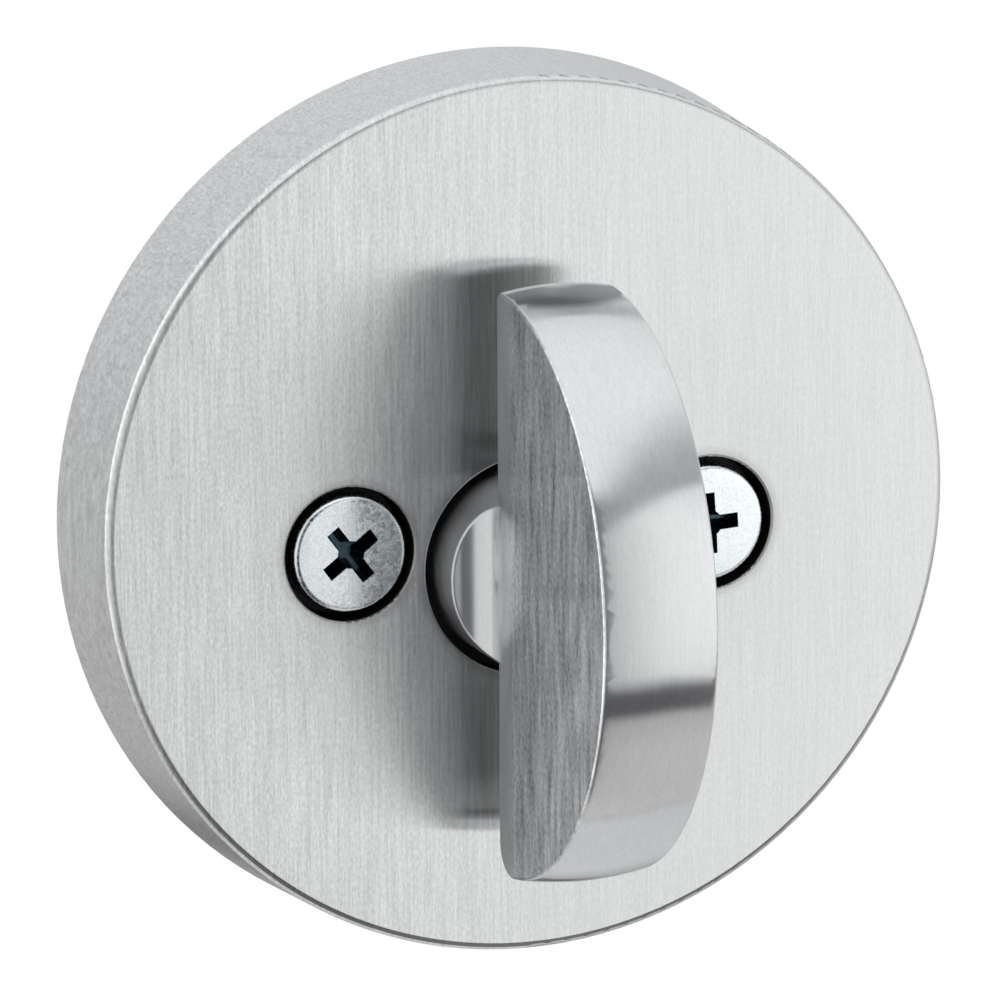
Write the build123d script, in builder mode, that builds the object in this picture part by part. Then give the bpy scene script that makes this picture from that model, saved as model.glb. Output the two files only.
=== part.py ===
from build123d import *
import os
from math import asin, atan2, cos, degrees, hypot, radians, sin, tan

# Inside trim of a single cylinder deadbolt: a round rose with a half-disc thumbturn.
# Millimetres. The origin is the turn's axis at the door face, +Z is up and +Y goes into the door.
# Depths are counted from the door face towards the room, along -Y, so they are positive in the room.

os.makedirs("parts", exist_ok=True)

# Rose cover
rose_face_radius = 33.35
rose_draft = 0.55
rose_depth = 10.4
rose_edge_radius = 0.65
rose_back_chamfer = 0.3
face_wall = 2.2
rim_wall = 2.15
cover_corner_radius = 1.2
rose_centre_height = 3.7
window_edge_radius = 0.2
cut_margin = 1.0
wall_overlap = 0.5
match = 0.01

# Mounting screws
screw_spacing = 28.6
screw_height = 2.0
screw_window_radius = 5.1
screw_head_radius = 4.45
screw_head_height = 3.6
screw_head_crown = 0.1
screw_head_round = 0.45
screw_foot_round = 0.2
screw_thread_radius = 2.4
screw_neck_radius = 2.0
screw_neck_length = 6.0
screw_length = 50.0
screw_tip = 0.6
screw_collar_wall = 1.5
screw_collar_gap = 0.3
screw_clearance = 0.35
left_recess_turn = 37.0
right_recess_turn = 3.0

# Cross recess of the mounting screws
recess_span = 4.7
recess_slot = 1.15
recess_depth = 1.9
recess_taper = 12.0
recess_well_radius = 1.05

# Nylon retainers on the mounting screws
retainer_radius = 3.9
retainer_thickness = 1.2
retainer_slits = 4
retainer_slit_width = 0.5
retainer_slit_length = 0.9

# Mounting plate
plate_thickness = 1.8
plate_flange_width = 6.6
plate_cone_run = 4.8
plate_edge_gap = 0.3
plate_bend_radius = 1.0
relief_slot_width = 3.4
relief_slot_orbit = 15.2
relief_slot_sweep = 64.0
relief_slot_angles = (90, 270)

# Countersunk plate screws and their bosses in the cover
plate_screw_count = 3
plate_screw_inset = 3.2
plate_screw_radius = 1.5
plate_screw_head_radius = 2.75
plate_screw_length = 6.0
plate_screw_clearance = 0.1
plate_recess_span = 2.9
plate_recess_slot = 0.75
plate_recess_depth = 1.1
boss_radius = 3.0
boss_hole_extra = 0.8
rib_width = 1.4
rib_length = 5.6
rib_height = 3.0

# Thumbturn
turn_window_radius = 8.3
neck_radius = 7.5
neck_projection = 3.35
scoop_radius = 2.8
grip_thickness = 8.95
grip_radius = 22.6
grip_stand_off = 4.95
grip_top_corner_radius = 0.9
grip_bottom_corner_radius = 2.4
grip_edge_round = 0.3
neck_edge_round = 0.25
hub_radius = 6.0
hub_flats = 10.0
hub_end_land = 1.25
hub_end_chamfer = 0.4

# Bearing, washers and end play
bearing_clearance = 0.06
seat_clearance = 0.02
end_play = 0.1
bushing_flange_radius = 9.2
bushing_flange_thickness = 1.2
bushing_wall = 1.2
bushing_chamfer = 0.25
thrust_washer_radius = 8.5
thrust_washer_thickness = 0.8
washer_clearance = 0.1
spring_washer_radius = 8.3
spring_washer_thickness = 0.35
spring_washer_bow = 0.55

# Limiting cam and pin
turn_range = 90.0
cam_thickness = 1.6
cam_radius = 11.3
cam_root_radius = 8.4
cam_fit = 0.05
cam_overrun = 1.3
stop_pin_orbit = 10.0
stop_pin_radius = 1.25
stop_pin_past_cam = 1.35
stop_pin_chamfer = 0.25

# Retaining ring
ring_thickness = 1.0
ring_radius = 7.9
ring_shift = 0.4
ring_groove_depth = 0.6
ring_fit = 0.05
ring_gap = 2.6
ring_lug_radius = 1.7
ring_lug_spacing = 5.4
ring_lug_drop = 7.0
ring_lug_hole = 0.6

# Blade socket in the hub
socket_outer_radius = 3.9
socket_depth = 11.0
socket_floor = 0.9
blade_radius = 3.25
blade_flat = 2.45
socket_lead_in = 0.35

# Levels worked out from the sizes above, as depths from the door face
face_back = rose_depth - face_wall
plate_front = face_back - bushing_flange_thickness
plate_back = plate_front - plate_thickness
thrust_back = plate_back - thrust_washer_thickness
spring_front = thrust_back - end_play
spring_back = spring_front - spring_washer_bow - spring_washer_thickness
cam_back = spring_back - cam_thickness
ring_front = cam_back - end_play
ring_back = ring_front - ring_thickness
hub_end = ring_back - hub_end_land
neck_shoulder = face_back + end_play
neck_front = rose_depth + neck_projection
grip_back = rose_depth + grip_stand_off
side_plane = grip_thickness / 2
rose_back_radius = rose_face_radius + rose_draft
rim_inner_radius = rose_face_radius - rim_wall
plate_outer_radius = rim_inner_radius - plate_edge_gap
plate_flange_start = plate_outer_radius - plate_flange_width
plate_flat_radius = plate_flange_start - plate_cone_run
plate_screw_orbit = rim_inner_radius - plate_screw_inset
screw_collar_radius = screw_window_radius + screw_collar_wall
bushing_bore = hub_radius + bearing_clearance
bushing_sleeve_radius = bushing_bore + bushing_wall
groove_radius = hub_radius - ring_groove_depth


def room_side(depth, z=0, x=0):
    """Plane parallel to the door that faces the room."""
    return Plane(origin=(x, -depth, z), x_dir=(1, 0, 0), z_dir=(0, -1, 0))


def door_side(depth, z=0, x=0):
    """Plane parallel to the door that faces into it, with its own Y axis pointing down."""
    return Plane(origin=(x, -depth, z), x_dir=(1, 0, 0), z_dir=(0, 1, 0))


def level(depth):
    """Plane centred on the turn's axis, facing the room."""
    return room_side(depth)


def rose_level(depth):
    """Plane centred on the rose, facing the room."""
    return room_side(depth, rose_centre_height)


def turned_plane(x, z):
    """Upright plane through an axis square to the door, for a turned profile of (radius, -depth)."""
    return Plane(origin=(x, 0, z), x_dir=(1, 0, 0), z_dir=(0, 0, 1))


def square_axis(x, z):
    return Axis((x, 0, z), (0, 1, 0))


rose_axis = square_axis(0, rose_centre_height)
turn_axis = square_axis(0, 0)
screw_places = ((-screw_spacing / 2, screw_height), (screw_spacing / 2, screw_height))

# Rose cover: a cup with a flat face, a slightly drafted rim and a small round at the front edge
with BuildPart() as rose_cover:
    with BuildSketch(turned_plane(0, rose_centre_height)):
        with BuildLine():
            Polyline(
                (0, -rose_depth),
                (rose_face_radius, -rose_depth),
                (rose_back_radius, 0),
                (rim_inner_radius, 0),
                (rim_inner_radius, -face_back),
                (0, -face_back),
                close=True,
            )
        make_face()
    revolve(axis=rose_axis)
    front_edge = rose_cover.edges().filter_by(GeomType.CIRCLE).sort_by(Axis.Y)[0]
    fillet(front_edge, rose_edge_radius)
    back_edge = rose_cover.edges().filter_by(GeomType.CIRCLE).sort_by(SortBy.RADIUS)[-1]
    chamfer(back_edge, rose_back_chamfer)
    corner = rose_cover.edges().filter_by(GeomType.CIRCLE).filter_by(
        lambda e: abs(e.radius - rim_inner_radius) < match and abs(e.center().Y + face_back) < match
    )
    fillet(corner, cover_corner_radius)
    # Collars round the screw windows carry the plate
    with BuildSketch(level(face_back)):
        with Locations(*screw_places):
            Circle(screw_collar_radius)
        Circle(bushing_flange_radius + screw_collar_gap, mode=Mode.SUBTRACT)
    extrude(amount=-(face_back - plate_front))
    # Bosses for the plate screws and short ribs in the corner between face and rim
    with BuildSketch(rose_level(face_back)):
        with PolarLocations(plate_screw_orbit, plate_screw_count, start_angle=90):
            Circle(boss_radius)
        with PolarLocations(rim_inner_radius - rib_length / 2, 2 * plate_screw_count, start_angle=60):
            Rectangle(rib_length + 2 * wall_overlap, rib_width)
        Circle(rim_inner_radius + wall_overlap, mode=Mode.INTERSECT)
    extrude(amount=-rib_height)
    with BuildSketch(rose_level(face_back)):
        with PolarLocations(plate_screw_orbit, plate_screw_count, start_angle=90):
            Circle(boss_radius)
        Circle(rim_inner_radius + wall_overlap, mode=Mode.INTERSECT)
    extrude(amount=-(face_back - plate_thickness))
    with BuildSketch(rose_level(plate_thickness)):
        with PolarLocations(plate_screw_orbit, plate_screw_count, start_angle=90):
            Circle(plate_screw_radius + seat_clearance)
    extrude(amount=plate_screw_length - plate_thickness + boss_hole_extra, mode=Mode.SUBTRACT)
    # Windows for the turn and for the screw heads
    with BuildSketch(level(plate_front - cut_margin)):
        Circle(turn_window_radius)
        with Locations(*screw_places):
            Circle(screw_window_radius)
    extrude(amount=rose_depth, mode=Mode.SUBTRACT)
    face_rims = rose_cover.faces().filter_by(Axis.Y).sort_by(Axis.Y)[0].inner_wires()
    fillet([edge for rim in face_rims for edge in rim.edges()], window_edge_radius)
rose_cover.part.label = "rose_cover"
export_step(rose_cover.part, "parts/rose_cover.step")

# Mounting plate: pressed dish, its flat middle behind the face and its flange level with the rim
wall_angle = atan2(plate_back, plate_flange_start - plate_flat_radius)
corner_shift = plate_thickness * tan(wall_angle / 2)
with BuildPart() as mounting_plate:
    with BuildSketch(turned_plane(0, rose_centre_height)):
        with BuildLine():
            Polyline(
                (0, -plate_front),
                (plate_flat_radius, -plate_front),
                (plate_flange_start, -plate_thickness),
                (plate_outer_radius, -plate_thickness),
                (plate_outer_radius, 0),
                (plate_flange_start - corner_shift, 0),
                (plate_flat_radius - corner_shift, -plate_back),
                (0, -plate_back),
                close=True,
            )
        make_face()
    revolve(axis=rose_axis)
    bends = mounting_plate.edges().filter_by(GeomType.CIRCLE).filter_by(
        lambda e: e.radius < plate_flange_start + cut_margin
    )
    fillet(bends, plate_bend_radius)
    with BuildSketch(level(plate_front + cut_margin)):
        Circle(bushing_sleeve_radius + seat_clearance)
        with Locations(*screw_places):
            Circle(screw_thread_radius + screw_clearance)
        with Locations((0, stop_pin_orbit)):
            Circle(stop_pin_radius + seat_clearance)
    extrude(amount=-(plate_thickness + 2 * cut_margin), mode=Mode.SUBTRACT)
    with BuildSketch(rose_level(plate_front + cut_margin)):
        for middle in relief_slot_angles:
            SlotArc(
                CenterArc((0, 0), relief_slot_orbit, middle - relief_slot_sweep / 2, relief_slot_sweep),
                relief_slot_width,
            )
    extrude(amount=-(plate_thickness + 2 * cut_margin), mode=Mode.SUBTRACT)
    with Locations(door_side(0, rose_centre_height)):
        with PolarLocations(plate_screw_orbit, plate_screw_count, start_angle=-90):
            CounterSinkHole(
                radius=plate_screw_radius + plate_screw_clearance,
                counter_sink_radius=plate_screw_head_radius + plate_screw_clearance,
                depth=plate_thickness + cut_margin,
                counter_sink_angle=90,
            )
mounting_plate.part.label = "mounting_plate"
export_step(mounting_plate.part, "parts/mounting_plate.step")

# Countersunk screws that hold the plate to the cover's bosses
plate_screw_angles = {"top": 90, "left": 210, "right": 330}
for place, angle in plate_screw_angles.items():
    screw_x = plate_screw_orbit * cos(radians(angle))
    screw_z = rose_centre_height + plate_screw_orbit * sin(radians(angle))
    head_depth = plate_screw_head_radius - plate_screw_radius
    with BuildPart() as plate_screw:
        with BuildSketch(turned_plane(screw_x, screw_z)):
            with BuildLine():
                Polyline(
                    (0, 0),
                    (plate_screw_head_radius, 0),
                    (plate_screw_radius, -head_depth),
                    (plate_screw_radius, -plate_screw_length + screw_tip),
                    (plate_screw_radius - screw_tip / 2, -plate_screw_length),
                    (0, -plate_screw_length),
                    close=True,
                )
            make_face()
        revolve(axis=square_axis(screw_x, screw_z))
        with BuildSketch(door_side(0, screw_z, screw_x)):
            Rectangle(plate_recess_span, plate_recess_slot, rotation=angle)
            Rectangle(plate_recess_slot, plate_recess_span, rotation=angle)
        extrude(amount=-plate_recess_depth, taper=recess_taper, mode=Mode.SUBTRACT)
    plate_screw.part.label = "plate_screw_" + place
    export_step(plate_screw.part, "parts/plate_screw_" + place + ".step")

# Front bushing: its flange is trapped between cover and plate, its sleeve lines the plate's hole
with BuildPart() as front_bushing:
    with BuildSketch(turned_plane(0, 0)):
        with BuildLine():
            Polyline(
                (bushing_bore, -face_back),
                (bushing_flange_radius - bushing_chamfer, -face_back),
                (bushing_flange_radius, -face_back + bushing_chamfer),
                (bushing_flange_radius, -plate_front),
                (bushing_sleeve_radius, -plate_front),
                (bushing_sleeve_radius, -plate_back),
                (bushing_bore, -plate_back),
                close=True,
            )
        make_face()
    revolve(axis=turn_axis)
front_bushing.part.label = "front_bushing"
export_step(front_bushing.part, "parts/front_bushing.step")

# Flat thrust washer behind the plate
with BuildPart() as thrust_washer:
    with BuildSketch(level(thrust_back)):
        Circle(thrust_washer_radius)
        Circle(hub_radius + washer_clearance, mode=Mode.SUBTRACT)
    extrude(amount=thrust_washer_thickness)
thrust_washer.part.label = "thrust_washer"
export_step(thrust_washer.part, "parts/thrust_washer.step")

# Stop pin pressed into the plate above the hub
stop_pin_end = spring_back - stop_pin_past_cam
with BuildPart() as stop_pin:
    with BuildSketch(level(stop_pin_end)):
        with Locations((0, stop_pin_orbit)):
            Circle(stop_pin_radius)
    extrude(amount=plate_front - stop_pin_end)
    chamfer(stop_pin.edges().sort_by(Axis.Y)[-1], stop_pin_chamfer)
stop_pin.part.label = "stop_pin"
export_step(stop_pin.part, "parts/stop_pin.step")

# Mounting screws with pan heads that seat on the plate
recess_turns = (left_recess_turn, right_recess_turn)
for side, (screw_x, screw_z), recess_turn in zip(("left", "right"), screw_places, recess_turns):
    head_top = plate_front + screw_head_height
    neck_back = plate_front - screw_neck_length
    crown_half = screw_head_radius - screw_head_round
    crown_radius = (crown_half**2 + screw_head_crown**2) / (2 * screw_head_crown)
    crown_angle = degrees(asin(crown_half / crown_radius))
    with BuildPart() as mounting_screw:
        with BuildSketch(turned_plane(screw_x, screw_z)):
            with BuildLine():
                crown = CenterArc((0, crown_radius - head_top), crown_radius, -90, crown_angle)
                shoulder = TangentArc(
                    crown @ 1,
                    (screw_head_radius, -head_top + screw_head_crown + screw_head_round),
                    tangent=crown % 1,
                )
                Polyline(
                    shoulder @ 1,
                    (screw_head_radius, -plate_front - screw_foot_round),
                    (screw_head_radius - screw_foot_round, -plate_front),
                    (screw_neck_radius, -plate_front),
                    (screw_neck_radius, -neck_back),
                    (screw_thread_radius, screw_thread_radius - screw_neck_radius - neck_back),
                    (screw_thread_radius, screw_length - plate_front - screw_tip),
                    (screw_thread_radius - screw_tip, screw_length - plate_front),
                    (0, screw_length - plate_front),
                    (0, -head_top),
                )
            make_face()
        revolve(axis=square_axis(screw_x, screw_z))
        with BuildSketch(room_side(head_top, screw_z, screw_x)):
            Rectangle(recess_span, recess_slot, rotation=recess_turn)
            Rectangle(recess_slot, recess_span, rotation=recess_turn)
            Circle(recess_well_radius)
        extrude(amount=-recess_depth, taper=recess_taper, mode=Mode.SUBTRACT)
    mounting_screw.part.label = "mounting_screw_" + side
    export_step(mounting_screw.part, "parts/mounting_screw_" + side + ".step")

    # Nylon retainer pushed over the thread behind the plate, where it holds the screw by its neck
    with BuildPart() as screw_retainer:
        with BuildSketch(door_side(plate_back, screw_z, screw_x)):
            Circle(retainer_radius)
            with PolarLocations(screw_neck_radius, retainer_slits, start_angle=45):
                Rectangle(2 * retainer_slit_length, retainer_slit_width, mode=Mode.SUBTRACT)
            Circle(screw_neck_radius + seat_clearance, mode=Mode.SUBTRACT)
        extrude(amount=retainer_thickness)
    screw_retainer.part.label = "screw_retainer_" + side
    export_step(screw_retainer.part, "parts/screw_retainer_" + side + ".step")

# Grip: a slice of a ball, cut off square behind, with its lower corner rounder than its upper one
with BuildPart() as grip:
    with BuildSketch(turned_plane(0, 0)):
        with BuildLine():
            front = CenterArc((0, -grip_back), grip_radius, -90, 90)
            Polyline(front @ 1, (0, -grip_back), front @ 0)
        make_face()
    revolve(axis=turn_axis)
    split(bisect_by=Plane.YZ.offset(side_plane), keep=Keep.BOTTOM)
    split(bisect_by=Plane.YZ.offset(-side_plane), keep=Keep.TOP)
    for end, corner_radius in ((0, grip_bottom_corner_radius), (-1, grip_top_corner_radius)):
        corners = grip.edges().filter_by(GeomType.CIRCLE).filter_by(
            lambda e: abs(e.center().Y + grip_back) < match
        )
        fillet(corners.sort_by(Axis.Z)[end], corner_radius)

# Neck and hub turned in one, the neck scooped on both sides down to the grip's faces
with BuildPart() as thumbturn:
    with BuildSketch(turned_plane(0, 0)):
        with BuildLine():
            Polyline(
                (0, -neck_front - scoop_radius),
                (neck_radius, -neck_front - scoop_radius),
                (neck_radius, -neck_shoulder),
                (hub_radius, -neck_shoulder),
                (hub_radius, -ring_front - ring_fit),
                (groove_radius, -ring_front - ring_fit),
                (groove_radius, -ring_back + ring_fit),
                (hub_radius, -ring_back + ring_fit),
                (hub_radius, -hub_end - hub_end_chamfer),
                (hub_radius - hub_end_chamfer, -hub_end),
                (0, -hub_end),
                close=True,
            )
        make_face()
    revolve(axis=turn_axis)
    with BuildSketch(Plane.XY.offset(-neck_radius)):
        for side in (-1, 1):
            with BuildLine():
                scoop = RadiusArc(
                    (side * (side_plane + scoop_radius), -neck_front),
                    (side * side_plane, -neck_front - scoop_radius),
                    -side * scoop_radius,
                )
                Polyline(
                    scoop @ 1,
                    (side * side_plane, -neck_front - 2 * scoop_radius),
                    (side * (neck_radius + cut_margin), -neck_front - 2 * scoop_radius),
                    (side * (neck_radius + cut_margin), -neck_front),
                    scoop @ 0,
                )
            make_face()
    extrude(amount=2 * neck_radius, mode=Mode.SUBTRACT)
    scoop_rims = thumbturn.edges().filter_by(GeomType.LINE, reverse=True).filter_by(
        lambda e: all(abs(hypot((e @ t).X, (e @ t).Z) - neck_radius) < match for t in (0, 1))
        and -neck_front - scoop_radius + match < (e @ 0.5).Y < -neck_front + match
    )
    fillet(scoop_rims, neck_edge_round)
    add(grip.part)
    # Flats that key the cam, and the bore for the blade socket
    with BuildSketch(level(hub_end - cut_margin)):
        Circle(hub_radius + cut_margin)
        Rectangle(hub_flats, 3 * hub_radius, mode=Mode.SUBTRACT)
    extrude(amount=spring_back + cam_fit - hub_end + cut_margin, mode=Mode.SUBTRACT)
    with BuildSketch(level(hub_end)):
        Circle(socket_outer_radius + seat_clearance)
    extrude(amount=socket_depth + socket_floor, mode=Mode.SUBTRACT)
    rim_edges = thumbturn.edges().filter_by(GeomType.CIRCLE).filter_by(
        lambda e: abs(abs(e.center().X) - side_plane) < match and e.center().Y < -neck_front - 2 * scoop_radius
    )
    fillet(rim_edges, grip_edge_round)
thumbturn.part.label = "thumbturn"
export_step(thumbturn.part, "parts/thumbturn.step")

# Blade socket: plug in the hub with a D-shaped hole
with BuildPart() as blade_socket:
    with BuildSketch(level(hub_end)):
        Circle(socket_outer_radius)
    extrude(amount=socket_depth + socket_floor)
    with BuildSketch(level(hub_end)):
        Circle(blade_radius)
        with Locations((0, -blade_radius)):
            Rectangle(2 * blade_radius, 2 * (blade_radius - blade_flat), mode=Mode.SUBTRACT)
    extrude(amount=socket_depth, mode=Mode.SUBTRACT)
    mouth = blade_socket.faces().sort_by(Axis.Y)[-1].inner_wires()[0].edges()
    chamfer(mouth, socket_lead_in)
blade_socket.part.label = "blade_socket"
export_step(blade_socket.part, "parts/blade_socket.step")

# Spring washer bowed across the hub: its middle bears on the thrust washer, its ends on the cam
with BuildPart() as spring_washer:
    with BuildSketch(level(spring_back)):
        Circle(spring_washer_radius)
        Circle(hub_radius + washer_clearance, mode=Mode.SUBTRACT)
    extrude(amount=spring_front - spring_back)
    with BuildSketch(Plane.XY.offset(-spring_washer_radius - cut_margin)):
        with BuildLine():
            front_bow = ThreePointArc(
                (-spring_washer_radius, -spring_back - spring_washer_thickness),
                (0, -spring_front),
                (spring_washer_radius, -spring_back - spring_washer_thickness),
            )
            back_bow = ThreePointArc(
                (-spring_washer_radius, -spring_back),
                (0, -spring_front + spring_washer_thickness),
                (spring_washer_radius, -spring_back),
            )
            Line(front_bow @ 0, back_bow @ 0)
            Line(front_bow @ 1, back_bow @ 1)
        make_face()
    extrude(amount=2 * (spring_washer_radius + cut_margin), mode=Mode.INTERSECT)
spring_washer.part.label = "spring_washer"
export_step(spring_washer.part, "parts/spring_washer.step")

# Stop cam: its wide half meets the pin at each end of the turn's travel
pin_half_angle = degrees(asin(stop_pin_radius / stop_pin_orbit))
shoulder_angle = turn_range + pin_half_angle + cam_overrun
with BuildPart() as stop_cam:
    with BuildSketch(level(cam_back)):
        with BuildLine():
            wide_half = CenterArc((0, 0), cam_radius, 90 + shoulder_angle, 360 - 2 * shoulder_angle)
            Polyline(wide_half @ 1, (0, 0), wide_half @ 0)
        make_face()
        Circle(cam_root_radius)
    extrude(amount=cam_thickness)
    with BuildSketch(level(cam_back)):
        Circle(hub_radius + cam_fit)
        Rectangle(hub_flats + 2 * cam_fit, 3 * hub_radius, mode=Mode.INTERSECT)
    extrude(amount=cam_thickness, mode=Mode.SUBTRACT)
stop_cam.part.label = "stop_cam"
export_step(stop_cam.part, "parts/stop_cam.step")

# Retaining ring: open ring with two lugs, sprung into the hub's groove
with BuildPart() as retaining_ring:
    with BuildSketch(level(ring_back)):
        with Locations((0, ring_shift)):
            Circle(ring_radius)
        with Locations((-ring_lug_spacing / 2, -ring_lug_drop), (ring_lug_spacing / 2, -ring_lug_drop)):
            Circle(ring_lug_radius)
        Circle(groove_radius + ring_fit, mode=Mode.SUBTRACT)
        with Locations((0, -ring_radius)):
            Rectangle(ring_gap, 2 * ring_radius, mode=Mode.SUBTRACT)
        with Locations((-ring_lug_spacing / 2, -ring_lug_drop), (ring_lug_spacing / 2, -ring_lug_drop)):
            Circle(ring_lug_hole, mode=Mode.SUBTRACT)
    extrude(amount=ring_thickness)
retaining_ring.part.label = "retaining_ring"
export_step(retaining_ring.part, "parts/retaining_ring.step")
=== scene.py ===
import math

import bmesh
import bpy
from mathutils import Matrix, Vector


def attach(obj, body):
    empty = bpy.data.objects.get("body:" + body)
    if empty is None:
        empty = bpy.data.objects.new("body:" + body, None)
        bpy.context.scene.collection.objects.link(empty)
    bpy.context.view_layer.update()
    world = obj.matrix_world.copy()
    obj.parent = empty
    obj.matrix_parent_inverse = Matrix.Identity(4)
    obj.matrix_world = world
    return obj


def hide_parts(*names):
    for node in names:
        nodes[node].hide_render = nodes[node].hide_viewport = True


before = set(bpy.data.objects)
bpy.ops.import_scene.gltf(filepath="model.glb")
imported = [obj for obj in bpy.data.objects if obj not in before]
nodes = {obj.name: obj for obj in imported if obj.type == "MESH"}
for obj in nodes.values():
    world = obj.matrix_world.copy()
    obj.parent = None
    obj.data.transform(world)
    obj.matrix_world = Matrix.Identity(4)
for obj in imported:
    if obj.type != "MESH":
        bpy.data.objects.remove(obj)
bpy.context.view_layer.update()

# Lengths are in metres, in the row's frame: the face looks along -Y and Z is up.

# Camera: the photograph's view, solved from the rose's and the turn's outlines
VIEW_AZIMUTH = math.radians(-20.35)
VIEW_ELEVATION = math.radians(12.43)
VIEW_ROLL = math.radians(-0.35)
VIEW_DISTANCE = 0.906
AIM_RIGHT = 0.001397
AIM_DOWN = 0.000853
LENS_MM = 432.0
SENSOR_MM = 36.0
CLIP_NEAR = 0.01
CLIP_FAR = 50.0

# Rose
ROSE_CENTRE = Vector((0, 0, 0.0037))
FACE_Y = -0.0104
FACE_RADIUS = 0.03335
EDGE_ROUND = 0.00065
RIM_INNER = 0.0313
SCREW_WINDOW = 0.0051
TURN_WINDOW = 0.0083
HALO_WIDTH = 0.0010

# Turn
GRIP_BACK = -0.0168
CREST_FROM = 0.018

# Mounting screws
SCREW_X = 0.0143
SCREW_Z = 0.002
HEAD_TOP = -0.0106
RECESS_END = -0.0072
RECESS_REACH = 0.00262
SHANK_CUT = -0.0009
SHANK_START = SHANK_CUT - 0.00005
SCREW_END = 0.043
TIP_LENGTH = 0.0012
TIP_SLOPE = 0.7
THREAD_RADIUS = 0.0024
THREAD_ROOT = 0.0020
THREAD_PITCH = 0.00079
THREAD_CREST = 1.25
THREAD_FLANK = 3.2
STEPS_AROUND = 40
STEPS_PER_PITCH = 8

# Meshes
JOINED_SKIN = 1e-6
JOINED_SCREW = 1e-7
CRISP_ANGLE = math.radians(32)

# Brushing: cycles of noise per metre along X, Y and Z, and its share of the grain
FINE_BRUSHING = (5200, 1300, 200)
COARSE_BRUSHING = (1100, 800, 90)
GRIT = (5600, 2800, 2600)
FINE_SHARE = 0.52
COARSE_SHARE = 0.12
GRIT_SHARE = 0.36

# Soft lobe of the brushed plate, beside the crisp one
SOFT_ROUGHNESS = 0.33
ROSE_SOFT_SHARE = 0.12
TURN_SOFT_SHARE = 0.38

# Tints, with painted shade for the grip's crest, the rose's low front edge, the windows' halo and
# the screws' recesses
UNBUFFED = (0.33, 0.33, 0.335)
CREST_PAINTED_SHADE = (0.165, 0.17, 0.19)
LOW_EDGE_PAINTED_SHADE = (0.10, 0.105, 0.115)
WINDOW_HALO_PAINTED_SHADE = (0.22, 0.225, 0.235)
INSIDE_TINT = (0.012, 0.011, 0.010)
RECESS_PAINTED_SHADE = (0.06, 0.095, 0.12)

# Floor
FLOOR_Z = -0.40
FLOOR_HALF = 6.0
FLOOR_COLOUR = (0.80, 0.785, 0.76)

# Light of the boxes before, above, behind and below, by angle in degrees: 0 is straight ahead of
# the face and 90 is overhead
BOXES = (
    (-180, (0.62, 0.62, 0.63)),
    (-168, (0.60, 0.60, 0.60)),
    (-150, (0.44, 0.44, 0.43)),
    (-135, (0.74, 0.74, 0.76)),
    (-95, (0.77, 0.77, 0.78)),
    (-92, (0.62, 0.62, 0.62)),
    (-89, (0.71, 0.70, 0.69)),
    (-60, (0.74, 0.72, 0.71)),
    (-46, (0.64, 0.62, 0.61)),
    (-42, (0.10, 0.09, 0.10)),
    (-34, (0.13, 0.13, 0.14)),
    (-28, (1.17, 1.17, 1.17)),
    (-12, (1.245, 1.245, 1.245)),
    (0, (1.27, 1.27, 1.27)),
    (34, (1.27, 1.27, 1.27)),
    (48, (1.18, 1.19, 1.20)),
    (60, (1.12, 1.13, 1.14)),
    (112, (1.06, 1.07, 1.08)),
    (150, (0.79, 0.80, 0.81)),
    (168, (0.70, 0.71, 0.72)),
    (180, (0.62, 0.62, 0.63)),
)
BOXES_TURN = -0.0055  # of a full turn
BOXES_BEND = (0.087, -0.036)  # of a full turn, by the direction's X
DIM_END = 0.57
GAP_ABOVE = (0.12, 0.125, 0.15)
GAP_AT_CAMERA = (0.075, 0.080, 0.095)
LEFT_BOX = 0.95
LEFT_BOX_BEHIND = 1.8
GAP_BELOW = (0.07, 0.07, 0.08)


def colour(value):
    if isinstance(value, (int, float)):
        value = (value, value, value)
    return (*value[:3], 1.0)


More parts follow.
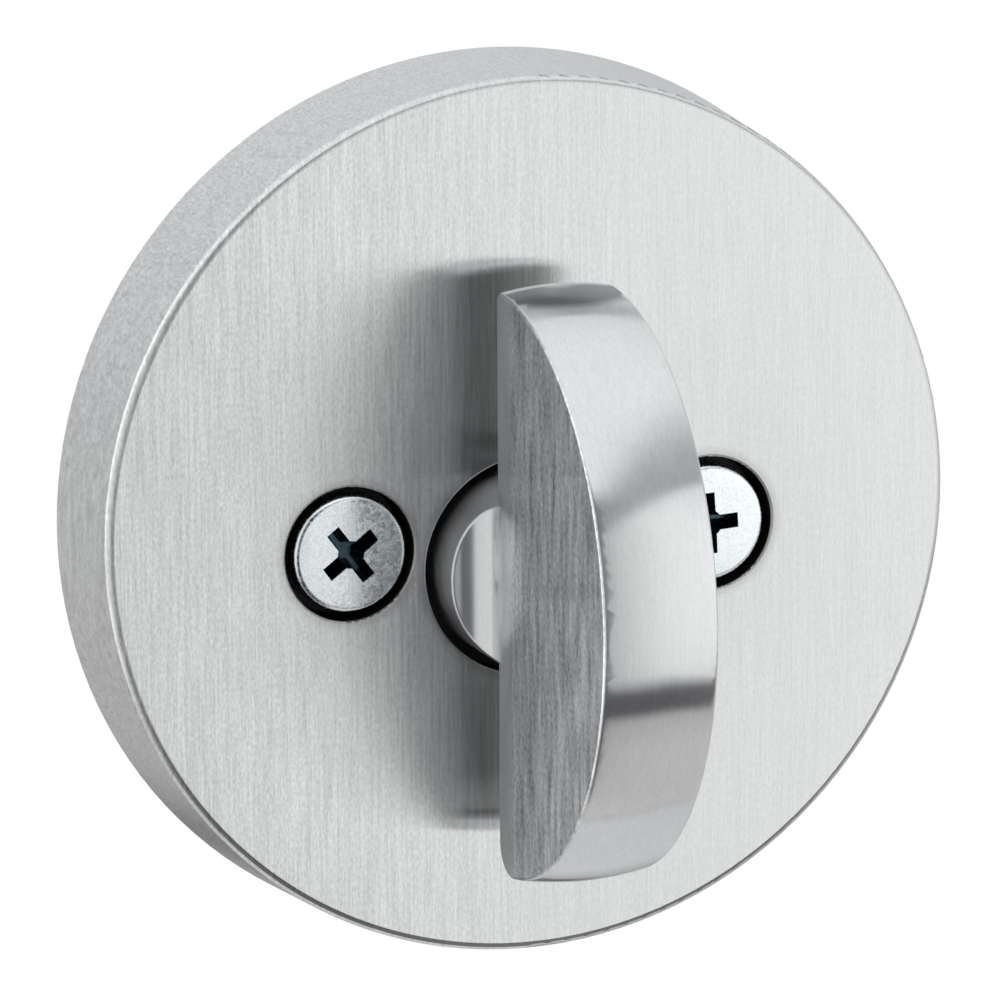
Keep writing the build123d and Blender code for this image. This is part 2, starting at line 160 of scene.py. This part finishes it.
class Nodes:
    """Short way to write a node tree."""

    def __init__(self, tree):
        self.tree = tree
        tree.nodes.clear()

    def put(self, node, key, value):
        if isinstance(value, bpy.types.NodeSocket):
            self.tree.links.new(value, node.inputs[key])
        else:
            node.inputs[key].default_value = value

    def add(self, kind, values=None, **props):
        node = self.tree.nodes.new(kind)
        for key, value in props.items():
            setattr(node, key, value)
        for key, value in (values or {}).items():
            self.put(node, key, value)
        return node

    def math(self, operation, a, b=0.0, c=0.0, clamp=False):
        values = {0: a, 1: b, 2: c}
        return self.add("ShaderNodeMath", values, operation=operation, use_clamp=clamp).outputs[0]

    def times(self, value, *factors):
        for factor in factors:
            value = self.math("MULTIPLY", value, factor)
        return value

    def vector(self, operation, a, b):
        return self.add("ShaderNodeVectorMath", {0: a, 1: b}, operation=operation).outputs[0]

    def xyz(self, vector):
        return self.add("ShaderNodeSeparateXYZ", {0: vector}).outputs

    def radius(self, x, z):
        """Distance from where x and z are 0."""
        squares = self.math("ADD", self.math("POWER", x, 2.0), self.math("POWER", z, 2.0))
        return self.math("SQRT", squares)

    def slope(self, value, start, end, low=0.0, high=1.0, curve="LINEAR"):
        """low up to start, high from end on, and a slope between them."""
        values = {"Value": value, "From Min": start, "From Max": end, "To Min": low, "To Max": high}
        return self.add("ShaderNodeMapRange", values, interpolation_type=curve).outputs[0]

    def fade(self, value, start, end):
        """0 up to start, 1 from end on, and a soft step between them."""
        return self.slope(value, start, end, curve="SMOOTHSTEP")

    def ramp(self, fac, stops):
        node = self.add("ShaderNodeValToRGB", {"Fac": fac})
        band = node.color_ramp
        while len(band.elements) > 1:
            band.elements.remove(band.elements[-1])
        band.elements[0].position = stops[0][0]
        band.elements[0].color = colour(stops[0][1])
        for position, value in stops[1:]:
            band.elements.new(position).color = colour(value)
        return node.outputs["Color"]

    def mix(self, fac, a, b, kind="RGBA", blend="MIX"):
        node = self.add("ShaderNodeMix", data_type=kind, blend_type=blend)
        first, result = {"RGBA": (6, 2), "VECTOR": (4, 1)}[kind]
        for key, value in ((0, fac), (first, a), (first + 1, b)):
            self.put(node, key, value)
        return node.outputs[result]

    def toned(self, base, tone):
        """The base colour, lighter or darker by the tone."""
        grey = self.add("ShaderNodeCombineColor", {0: tone, 1: tone, 2: tone}).outputs[0]
        return self.mix(1.0, colour(base), grey, blend="MULTIPLY")


def new_material(name):
    """A material with an empty node tree, and its object's coordinates."""
    material = bpy.data.materials.new(name)
    material.use_nodes = True
    n = Nodes(material.node_tree)
    return material, n, n.add("ShaderNodeTexCoord").outputs


def streaks(n, point, scale, detail):
    """Noise stretched along the brushing: scale is in cycles per metre along X, Y and Z."""
    stretched = n.vector("MULTIPLY", point, scale)
    values = {"Vector": stretched, "Scale": 1.0, "Detail": detail, "Roughness": 0.6}
    return n.add("ShaderNodeTexNoise", values).outputs["Fac"]


def from_screw(n, point):
    """Distance from the axis of the nearer mounting screw."""
    axes = n.xyz(point)
    across = n.math("SUBTRACT", n.math("ABSOLUTE", axes["X"]), SCREW_X)
    return n.radius(across, n.math("SUBTRACT", axes["Z"], SCREW_Z))


def inside_of_cover(n, point):
    """1 inside the cover and on its windows' walls, 0 on its face and rim."""
    axes = n.xyz(point)
    radius = n.radius(axes["X"], n.math("SUBTRACT", axes["Z"], ROSE_CENTRE.z))
    behind = n.slope(axes["Y"], FACE_Y + 0.00014, FACE_Y + 0.00021)
    return n.times(behind, n.math("LESS_THAN", radius, RIM_INNER))


def beside_windows(n, point):
    """1 at the rims of the face's windows, fading to 0 over the next millimetre."""
    axes = n.xyz(point)
    rims = []
    for radius, rim in (
        (from_screw(n, point), SCREW_WINDOW),
        (n.radius(axes["X"], axes["Z"]), TURN_WINDOW),
    ):
        rims.append(n.fade(radius, rim + HALO_WIDTH, rim + HALO_WIDTH / 10))
    return n.math("MAXIMUM", *rims)


def recess_of_screws(n, point):
    """1 in the cross recesses of the mounting screws, 0 elsewhere."""
    depth = n.xyz(point)["Y"]
    deep = n.slope(depth, HEAD_TOP + 0.00010, HEAD_TOP + 0.00026)
    near = n.math("LESS_THAN", from_screw(n, point), RECESS_REACH)
    return n.times(deep, near, n.math("LESS_THAN", depth, RECESS_END))


def rose_brushing(n, point, normal):
    """Direction across the rose's brushing, and the strength of its grain."""
    # The face and its edge spread along X, the rim round its circumference
    on_face = n.math("GREATER_THAN", n.math("ABSOLUTE", n.xyz(normal)["Y"]), 0.2)
    around = n.vector("CROSS_PRODUCT", normal, (0, 1, 0))
    across = n.mix(on_face, around, (1, 0, 0), kind="VECTOR")
    # The grain is fainter towards the right
    return across, n.slope(n.xyz(point)["X"], 0.012, -0.020, 0.6, 1.5)


def rose_finish(n, point, normal, tinted):
    """The rose's final colour, its metal sockets and its share of the soft lobe."""
    slant = n.math("ABSOLUTE", n.xyz(normal)["Y"])
    edge = n.slope(slant, 0.998, 0.95)
    # The front edge is softer than the face. Its lower part gets painted shade: a dark reflection
    # painted into its colour
    round_only = n.times(edge, n.math("GREATER_THAN", slant, 0.3))
    soft_share = n.math("MULTIPLY_ADD", round_only, 0.6, ROSE_SOFT_SHARE)
    front_only = n.times(edge, n.math("GREATER_THAN", slant, 0.8))
    low = n.slope(n.xyz(point)["Z"], -0.008, -0.026)
    tinted = n.mix(n.times(low, front_only, 0.75), tinted, colour(LOW_EDGE_PAINTED_SHADE))
    # Painted shade: the face is painted darker round the windows' rims
    tinted = n.mix(n.times(beside_windows(n, point), 0.3), tinted, colour(WINDOW_HALO_PAINTED_SHADE))
    # The inside isn't plated
    inside = inside_of_cover(n, point)
    tinted = n.mix(inside, tinted, colour(INSIDE_TINT))
    plated = n.math("SUBTRACT", 1.0, inside)
    metal = {"Metallic": plated, "Specular IOR Level": n.times(plated, 0.5)}
    return tinted, metal, soft_share


def turn_brushing(n, point, normal):
    """Direction across the turn's brushing, and the strength of its grain."""
    across = n.vector("CROSS_PRODUCT", normal, (0, 0, 1))
    # The grain is strong on the grip's flat sides alone
    on_grip = n.slope(n.xyz(point)["Y"], -0.0155, -0.019)
    flat = n.times(n.math("ABSOLUTE", n.xyz(normal)["X"]), on_grip)
    return across, n.slope(flat, 0.5, 0.95, 0.456, 2.85)


def turn_finish(n, point, normal, tinted):
    """The turn's final colour, its metal sockets and its share of the soft lobe."""
    facing = n.xyz(normal)
    is_back = n.math("GREATER_THAN", facing["Y"], 0.9)
    tinted = n.mix(is_back, tinted, colour(UNBUFFED))
    # Painted shade: the crest near the grip's top is painted darker, a dark reflection painted into
    # its colour
    spot = n.xyz(point)
    rising = n.slope(facing["Z"], 0.960, 0.972)
    ending = n.slope(facing["Z"], 0.9985, 0.9945)
    high = n.math("GREATER_THAN", spot["Z"], CREST_FROM)
    before_back = n.math("LESS_THAN", spot["Y"], GRIP_BACK)
    crest = n.times(rising, ending, high, before_back, 0.82)
    tinted = n.mix(crest, tinted, colour(CREST_PAINTED_SHADE))
    return tinted, {"Metallic": 1.0, "Specular IOR Level": 0.5}, TURN_SOFT_SHARE


def brushed_metal(name, base, brushing, finish, crisp):
    """Satin plate brushed upright. Its highlights spread across the brushing, hardly along it."""
    material, n, place = new_material(name)
    point, normal = place["Object"], place["Normal"]
    across, contrast = brushing(n, point, normal)
    spaces = {"vector_type": "VECTOR", "convert_from": "OBJECT", "convert_to": "WORLD"}
    tangent = n.add("ShaderNodeVectorTransform", {0: across}, **spaces).outputs[0]
    fine = streaks(n, point, FINE_BRUSHING, 3.0)
    coarse = streaks(n, point, COARSE_BRUSHING, 2.0)
    grit = streaks(n, point, GRIT, 1.0)
    grain = n.math("ADD", n.times(fine, FINE_SHARE), n.times(coarse, COARSE_SHARE))
    grain = n.math("MULTIPLY_ADD", grit, GRIT_SHARE, grain)
    tone = n.math("MULTIPLY_ADD", n.math("SUBTRACT", grain, 0.5), contrast, 1.0)
    tinted, metal, soft_share = finish(n, point, normal, n.toned(base, tone))
    scratch = n.times(n.math("SUBTRACT", fine, 0.5), 0.10)
    relief = n.add("ShaderNodeBump", {"Height": fine, "Strength": 0.3, "Distance": 0.000004})
    # A crisp lobe and a soft one, both spread across the brushing
    lobes = []
    for roughness in (crisp, SOFT_ROUGHNESS):
        values = {
            "Base Color": tinted,
            "Roughness": n.math("ADD", scratch, roughness),
            "Anisotropic": 1.0,
            "Tangent": tangent,
            "Normal": relief.outputs[0],
            **metal,
        }
        lobes.append(n.add("ShaderNodeBsdfPrincipled", values).outputs[0])
    both = n.add("ShaderNodeMixShader", {0: soft_share, 1: lobes[0], 2: lobes[1]})
    n.add("ShaderNodeOutputMaterial", {0: both.outputs[0]})
    return material


def plain_metal(
    name, base, roughness, mottle=0.12, scale=1500.0, bump=0.15, metallic=1.0, recess=False
):
    """Plated, painted or oiled metal with fine mottling."""
    material, n, place = new_material(name)
    point = place["Object"]
    values = {"Vector": point, "Scale": scale, "Detail": 4.0, "Roughness": 0.65}
    cells = n.add("ShaderNodeTexNoise", values).outputs["Fac"]
    flecks = n.add("ShaderNodeTexVoronoi", {"Vector": point, "Scale": scale * 2.4}).outputs["Color"]
    fleck = n.add("ShaderNodeSeparateColor", {0: flecks}).outputs[0]
    both = n.math("ADD", n.times(cells, 0.6), n.times(fleck, 0.4))
    swing = n.math("SUBTRACT", both, 0.5)
    tinted = n.toned(base, n.math("MULTIPLY_ADD", swing, mottle * 2, 1.0))
    if recess:
        # Painted shade: the cross recesses are painted dark
        tinted = n.mix(recess_of_screws(n, point), tinted, colour(RECESS_PAINTED_SHADE))
    relief = n.add("ShaderNodeBump", {"Height": both, "Strength": bump, "Distance": 0.00003})
    values = {
        "Base Color": tinted,
        "Metallic": metallic,
        "Roughness": n.math("MULTIPLY_ADD", swing, mottle * 1.5, roughness),
        "Normal": relief.outputs[0],
    }
    shader = n.add("ShaderNodeBsdfPrincipled", values)
    n.add("ShaderNodeOutputMaterial", {0: shader.outputs[0]})
    return material


def moulded(name, base, roughness, speckle=0.1, translucent=0.0):
    """Moulded plastic with a faint orange-peel surface."""
    material, n, place = new_material(name)
    values = {"Vector": place["Object"], "Scale": 2200.0, "Detail": 3.0}
    peel = n.add("ShaderNodeTexNoise", values).outputs["Fac"]
    swing = n.math("SUBTRACT", peel, 0.5)
    relief = n.add("ShaderNodeBump", {"Height": peel, "Strength": 0.3, "Distance": 0.00002})
    values = {
        "Base Color": n.toned(base, n.math("MULTIPLY_ADD", swing, speckle * 2, 1.0)),
        "Roughness": roughness,
        "Subsurface Weight": translucent,
        "Subsurface Scale": 0.001,
        "Normal": relief.outputs[0],
    }
    shader = n.add("ShaderNodeBsdfPrincipled", values)
    n.add("ShaderNodeOutputMaterial", {0: shader.outputs[0]})
    return material


def dress(obj, material):
    obj.data.materials.clear()
    obj.data.materials.append(material)


satin_rose = brushed_metal("satin_rose", (0.70, 0.71, 0.71), rose_brushing, rose_finish, crisp=0.19)
satin_turn = brushed_metal("satin_turn", (0.70, 0.71, 0.715), turn_brushing, turn_finish, crisp=0.13)
zinc = plain_metal("zinc_plate", (0.74, 0.79, 0.82), 0.26)
screw_zinc = plain_metal(
    "screw_zinc", (0.82, 0.875, 0.895), 0.25, mottle=0.32, scale=1900.0, bump=0.4, recess=True
)
plate_zinc = plain_metal("plate_zinc", (0.66, 0.67, 0.66), 0.34, mottle=0.08, scale=900.0)
plate_black = plain_metal(
    "plate_black", (0.035, 0.035, 0.037), 0.5, mottle=0.2, scale=900.0, metallic=0.0
)
spring_steel = plain_metal("spring_steel", (0.16, 0.16, 0.17), 0.38, mottle=0.2)
sintered = plain_metal("sintered_steel", (0.33, 0.32, 0.30), 0.5, mottle=0.3, scale=4000.0, bump=0.4)
acetal = moulded("black_acetal", (0.012, 0.012, 0.014), 0.5)
nylon = moulded("natural_nylon", (0.82, 0.80, 0.74), 0.42, speckle=0.03, translucent=0.3)

finishes = {
    "rose_cover": satin_rose,
    "thumbturn": satin_turn,
    "mounting_plate": plate_black,
    "plate_screw_top": zinc,
    "plate_screw_left": zinc,
    "plate_screw_right": zinc,
    "mounting_screw_left": screw_zinc,
    "mounting_screw_right": screw_zinc,
    "screw_retainer_left": nylon,
    "screw_retainer_right": nylon,
    "front_bushing": acetal,
    "thrust_washer": zinc,
    "spring_washer": spring_steel,
    "stop_pin": zinc,
    "stop_cam": plate_zinc,
    "retaining_ring": spring_steel,
    "blade_socket": sintered,
}
for name, material in finishes.items():
    dress(nodes[name], material)


def joined_copy(node, name, distance):
    """The node's own mesh with its facets joined, as a mesh to fill and a bmesh."""
    mesh = nodes[node].data.copy()
    mesh.name = name
    bm = bmesh.new()
    bm.from_mesh(mesh)
    bmesh.ops.remove_doubles(bm, verts=bm.verts, dist=distance)
    return mesh, bm


def finished(bm, mesh, name):
    """Object of a closed mesh: smooth over its curves, crisp at its real edges."""
    for face in bm.faces:
        face.smooth = True
    bm.to_mesh(mesh)
    bm.free()
    if "custom_normal" in mesh.attributes:
        mesh.attributes.remove(mesh.attributes["custom_normal"])
    mesh.set_sharp_from_angle(angle=CRISP_ANGLE)
    obj = bpy.data.objects.new(name, mesh)
    bpy.context.scene.collection.objects.link(obj)
    even = obj.modifiers.new("even_shading", "WEIGHTED_NORMAL")
    even.keep_sharp = True
    even.mode = "FACE_AREA_WITH_ANGLE"
    return obj


def polished_copy(name, node, material, body):
    """The node's own shape with its facets joined, so that light runs over it evenly."""
    mesh, bm = joined_copy(node, name, JOINED_SKIN)
    obj = finished(bm, mesh, name)
    dress(obj, material)
    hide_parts(node)
    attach(obj, body)
    return obj


def true_front_edge(obj):
    """Shades the rose's rounded front edge by the round itself and not by its facets."""
    slack = 0.00001
    evaluated = obj.evaluated_get(bpy.context.evaluated_depsgraph_get())
    mesh = evaluated.to_mesh()
    normals = [Vector(corner.vector) for corner in mesh.corner_normals]
    centre_radius = FACE_RADIUS - EDGE_ROUND
    centre_y = FACE_Y + EDGE_ROUND
    for loop in mesh.loops:
        point = mesh.vertices[loop.vertex_index].co
        out = Vector((point.x, 0, point.z - ROSE_CENTRE.z))
        if out.length > centre_radius - 2 * slack and point.y < centre_y + slack:
            normal = out.normalized() * (out.length - centre_radius)
            normal.y = point.y - centre_y
            normals[loop.index] = normal.normalized()
    evaluated.to_mesh_clear()
    obj.modifiers.clear()
    obj.data.normals_split_custom_set(normals)


def thread_radius(y, turn):
    """Radius of the threaded shank at y, a share of a full turn round its axis."""
    phase = (y / THREAD_PITCH + turn) % 1.0
    crest = min(1.0, max(0.0, THREAD_CREST - abs(phase - 0.5) * THREAD_FLANK))
    run_in = min(1.0, max(0.0, (y - SHANK_START) / THREAD_PITCH))
    tip = max(0.0, y - (SCREW_END - TIP_LENGTH)) * TIP_SLOPE
    return min(THREAD_ROOT + (THREAD_RADIUS - THREAD_ROOT) * crest * run_in, THREAD_RADIUS - tip)


def threaded_screw(name, node, x):
    """The node's own head and neck, joined to a shank with a real helical thread."""
    mesh, bm = joined_copy(node, name, JOINED_SCREW)
    whole = [*bm.verts, *bm.edges, *bm.faces]
    plane = {"plane_co": (0, SHANK_CUT, 0), "plane_no": (0, 1, 0)}
    bmesh.ops.bisect_plane(bm, geom=whole, clear_outer=True, **plane)
    length = SCREW_END - SHANK_START
    count = int(length / (THREAD_PITCH / STEPS_PER_PITCH)) + 1
    rings = []
    for i in range(count + 1):
        y = SHANK_START + length * i / count
        ring = []
        for k in range(STEPS_AROUND):
            turn = k / STEPS_AROUND
            radius = thread_radius(y, turn)
            angle = 2 * math.pi * turn
            spot = (x + radius * math.cos(angle), y, SCREW_Z + radius * math.sin(angle))
            ring.append(bm.verts.new(spot))
        rings.append(ring)
    for a, b in zip(rings, rings[1:]):
        for k in range(STEPS_AROUND):
            j = (k + 1) % STEPS_AROUND
            bm.faces.new((a[k], b[k], b[j], a[j]))
    bm.faces.new(rings[-1])
    bmesh.ops.recalc_face_normals(bm, faces=bm.faces)
    obj = finished(bm, mesh, name)
    dress(obj, screw_zinc)
    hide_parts(node)
    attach(obj, "rose")


rose_skin = polished_copy("rose_cover_satin", "rose_cover", satin_rose, "rose")
true_front_edge(rose_skin)
polished_copy("thumbturn_satin", "thumbturn", satin_turn, "turn")

threaded_screw("screw_left_threaded", "mounting_screw_left", -SCREW_X)
threaded_screw("screw_right_threaded", "mounting_screw_right", SCREW_X)

# Floor: a pale sheet well below the trim, white to the camera
floor_mesh = bpy.data.meshes.new("floor")
bm = bmesh.new()
bmesh.ops.create_grid(bm, x_segments=2, y_segments=2, size=FLOOR_HALF)
bm.to_mesh(floor_mesh)
bm.free()
floor = bpy.data.objects.new("floor", floor_mesh)
floor.location = (0, 0, FLOOR_Z)
floor.visible_glossy = False
bpy.context.scene.collection.objects.link(floor)
floor_material = bpy.data.materials.new("pale_floor")
floor_material.use_nodes = True
n = Nodes(floor_material.node_tree)
rays = n.add("ShaderNodeLightPath")
pale = n.add("ShaderNodeBsdfDiffuse", {"Color": colour(FLOOR_COLOUR)})
white = n.add("ShaderNodeEmission", {"Color": colour(1.0), "Strength": 1.0})
values = {0: rays.outputs["Is Camera Ray"], 1: pale.outputs[0], 2: white.outputs[0]}
n.add("ShaderNodeOutputMaterial", {0: n.add("ShaderNodeMixShader", values).outputs[0]})
dress(floor, floor_material)


def studio(n):
    """Light by direction: broad soft boxes before and above, darker gaps between them."""
    axes = n.xyz(n.add("ShaderNodeTexCoord").outputs["Generated"])
    right, up = axes["X"], axes["Z"]
    ahead = n.times(axes["Y"], -1.0)
    height = n.math("ARCTAN2", up, ahead)
    degrees = n.times(height, 180 / math.pi)
    bend = n.math("MULTIPLY_ADD", right, *BOXES_BEND, clamp=True)
    turned = n.math("MULTIPLY_ADD", height, 1 / (2 * math.pi), 0.5 + BOXES_TURN)
    stops = [(0.5 + angle / 360, light) for angle, light in BOXES]
    light = n.ramp(n.math("ADD", turned, bend), stops)

    # The box before the trim is dimmer towards its left end
    dimmer = n.times(n.fade(right, 0.44, 0.14), n.fade(degrees, 36.0, 26.0))
    dimmer = n.times(dimmer, n.fade(degrees, -34.0, -28.0), 0.5)
    light = n.mix(dimmer, light, colour(DIM_END))

    # A gap above it, rising and widening to the right
    sideways = n.math("MAXIMUM", right, 0.0)
    start = n.math("MULTIPLY_ADD", sideways, 33.0, 27.0)
    top = n.math("MULTIPLY_ADD", sideways, 95.0, 42.0)
    full = n.math("MULTIPLY_ADD", sideways, 36.0, 36.0)
    depth = n.math("MULTIPLY_ADD", sideways, -0.35, 0.85)
    past_start = n.fade(n.math("SUBTRACT", degrees, start), -2.0, 2.5)
    light = n.mix(n.times(past_start, n.fade(degrees, top, full), depth), light, colour(GAP_ABOVE))

    # The gap at the camera
    left = n.times(n.fade(right, 0.06, -0.08), n.fade(right, -0.72, -0.60))
    dark = n.times(left, n.fade(ahead, 0.02, 0.25), n.fade(up, 0.75, 0.6))
    light = n.mix(dark, light, colour(GAP_AT_CAMERA))

    # A soft box far to the left, brighter behind the trim
    beside = n.times(n.fade(right, -0.64, -0.78), n.fade(n.math("ABSOLUTE", up), 0.7, 0.5))
    light = n.mix(beside, light, colour(LEFT_BOX))
    light = n.mix(n.times(beside, n.fade(ahead, -0.05, -0.25)), light, colour(LEFT_BOX_BEHIND))

    # A gap below and behind on the right
    under = n.times(n.fade(right, 0.0, 0.15), n.fade(degrees, -149.0, -153.0))
    under = n.times(under, n.fade(degrees, -161.0, -156.0))
    return n.mix(under, light, colour(GAP_BELOW))


world = bpy.data.worlds.new("studio")
bpy.context.scene.world = world
world.use_nodes = True
n = Nodes(world.node_tree)
rays = n.add("ShaderNodeLightPath")
seen = n.mix(rays.outputs["Is Camera Ray"], studio(n), colour(1.0))
background = n.add("ShaderNodeBackground", {"Color": seen, "Strength": 1.0})
n.add("ShaderNodeOutputWorld", {0: background.outputs[0]})

# Camera
sa, ca = math.sin(VIEW_AZIMUTH), math.cos(VIEW_AZIMUTH)
se, ce = math.sin(VIEW_ELEVATION), math.cos(VIEW_ELEVATION)
back = Vector((sa * ce, -ca * ce, se))
right = Vector((ca, sa, 0))
up = right.cross(-back)
rolled_right = right * math.cos(VIEW_ROLL) + up * math.sin(VIEW_ROLL)
rolled_up = up * math.cos(VIEW_ROLL) - right * math.sin(VIEW_ROLL)
place = ROSE_CENTRE + back * VIEW_DISTANCE
aim = ROSE_CENTRE + rolled_right * AIM_RIGHT - rolled_up * AIM_DOWN
looking = (place - aim).normalized()
cam_right = (rolled_right - looking * rolled_right.dot(looking)).normalized()
cam_up = looking.cross(cam_right)
camera_data = bpy.data.cameras.new("camera")
camera_data.sensor_fit = "HORIZONTAL"
camera_data.sensor_width = SENSOR_MM
camera_data.lens = LENS_MM
camera_data.clip_start = CLIP_NEAR
camera_data.clip_end = CLIP_FAR
camera = bpy.data.objects.new("camera", camera_data)
bpy.context.scene.collection.objects.link(camera)
camera.matrix_world = Matrix((*zip(cam_right, cam_up, looking, place), (0, 0, 0, 1)))
bpy.context.scene.camera = camera

bpy.context.scene.view_settings.view_transform = "Standard"
